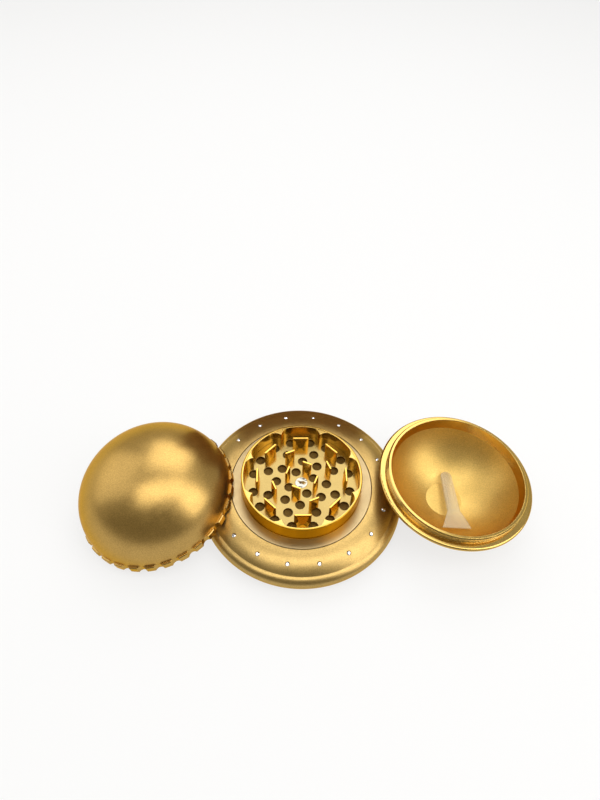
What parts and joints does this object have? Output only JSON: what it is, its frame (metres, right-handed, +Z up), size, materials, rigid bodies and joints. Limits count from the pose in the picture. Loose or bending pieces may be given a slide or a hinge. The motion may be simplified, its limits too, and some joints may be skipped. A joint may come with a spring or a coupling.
{
  "type": "hand grinder",
  "caption": "Saucer-shaped metal hand grinder laid out in pieces: domed toothed lid, crystal-set body with a toothed sieve chamber, and a collecting bowl with a scraper.",
  "frame": {"origin": "on the main body's axis, at the mouth of the bowl socket, which is also the table it stands on", "axes": "+Z up along the main body's axis, +X from the lid towards the bowl along the row of pieces"},
  "size_m": [0.1961, 0.0892, 0.0373],
  "materials": {
    "gold_satin": "satin gold anodised, blasted grain",
    "gold_polished": "bright gold anodised, machined",
    "crystal": "faceted clear stone",
    "magnet": "nickel plated",
    "steel_mesh": "fine woven mesh",
    "nylon": "natural nylon",
    "scraper_plastic": "milky translucent plastic"
  },
  "bodies": {
    "main_body": {"saucer": "gold_satin", "chamber_wall": "gold_polished", "grinding_plate": "gold_polished", "chamber_teeth_outer": "gold_polished", "chamber_teeth_middle": "gold_polished", "chamber_teeth_inner": "gold_polished", "chamber_magnet": "magnet", "sieve_screen": "steel_mesh", "screen_ring": "gold_polished", "crystal_01": "crystal", "crystal_02": "crystal", "crystal_03": "crystal", "crystal_04": "crystal", "crystal_05": "crystal", "crystal_06": "crystal", "crystal_07": "crystal", "crystal_08": "crystal", "crystal_09": "crystal", "crystal_10": "crystal", "crystal_11": "crystal", "crystal_12": "crystal", "crystal_13": "crystal", "crystal_14": "crystal", "crystal_15": "crystal", "crystal_16": "crystal", "crystal_17": "crystal", "crystal_18": "crystal"},
    "glide_ring": {"lid_glide_ring": "nylon"},
    "lid": {"lid_dome": "gold_satin", "lid_tooth_plate": "gold_polished", "lid_teeth_outer": "gold_polished", "lid_teeth_inner": "gold_polished", "lid_magnet": "magnet"},
    "bowl": {"bowl": "gold_satin"},
    "scraper": {"scraper": "scraper_plastic"}
  },
  "joints": [
    {"name": "lid_lift", "type": "slide", "parent": "main_body", "child": "glide_ring", "axis": [-0.2142, -0.0097, 0.9767], "range_m": [0, 0.06]},
    {"name": "lid_turn", "type": "hinge", "parent": "glide_ring", "child": "lid", "pos_m": [-0.06269, -0.00285, 0.00733], "axis": [-0.2142, -0.0097, 0.9767], "continuous": true},
    {"name": "bowl_lift", "type": "slide", "parent": "main_body", "child": "bowl", "axis": [0.0662, -0.0025, 0.9978], "range_m": [0, 0.06]},
    {"name": "scraper_lift", "type": "slide", "parent": "bowl", "child": "scraper", "axis": [0.0662, -0.0025, 0.9978], "range_m": [0, 0.05]}
  ]
}
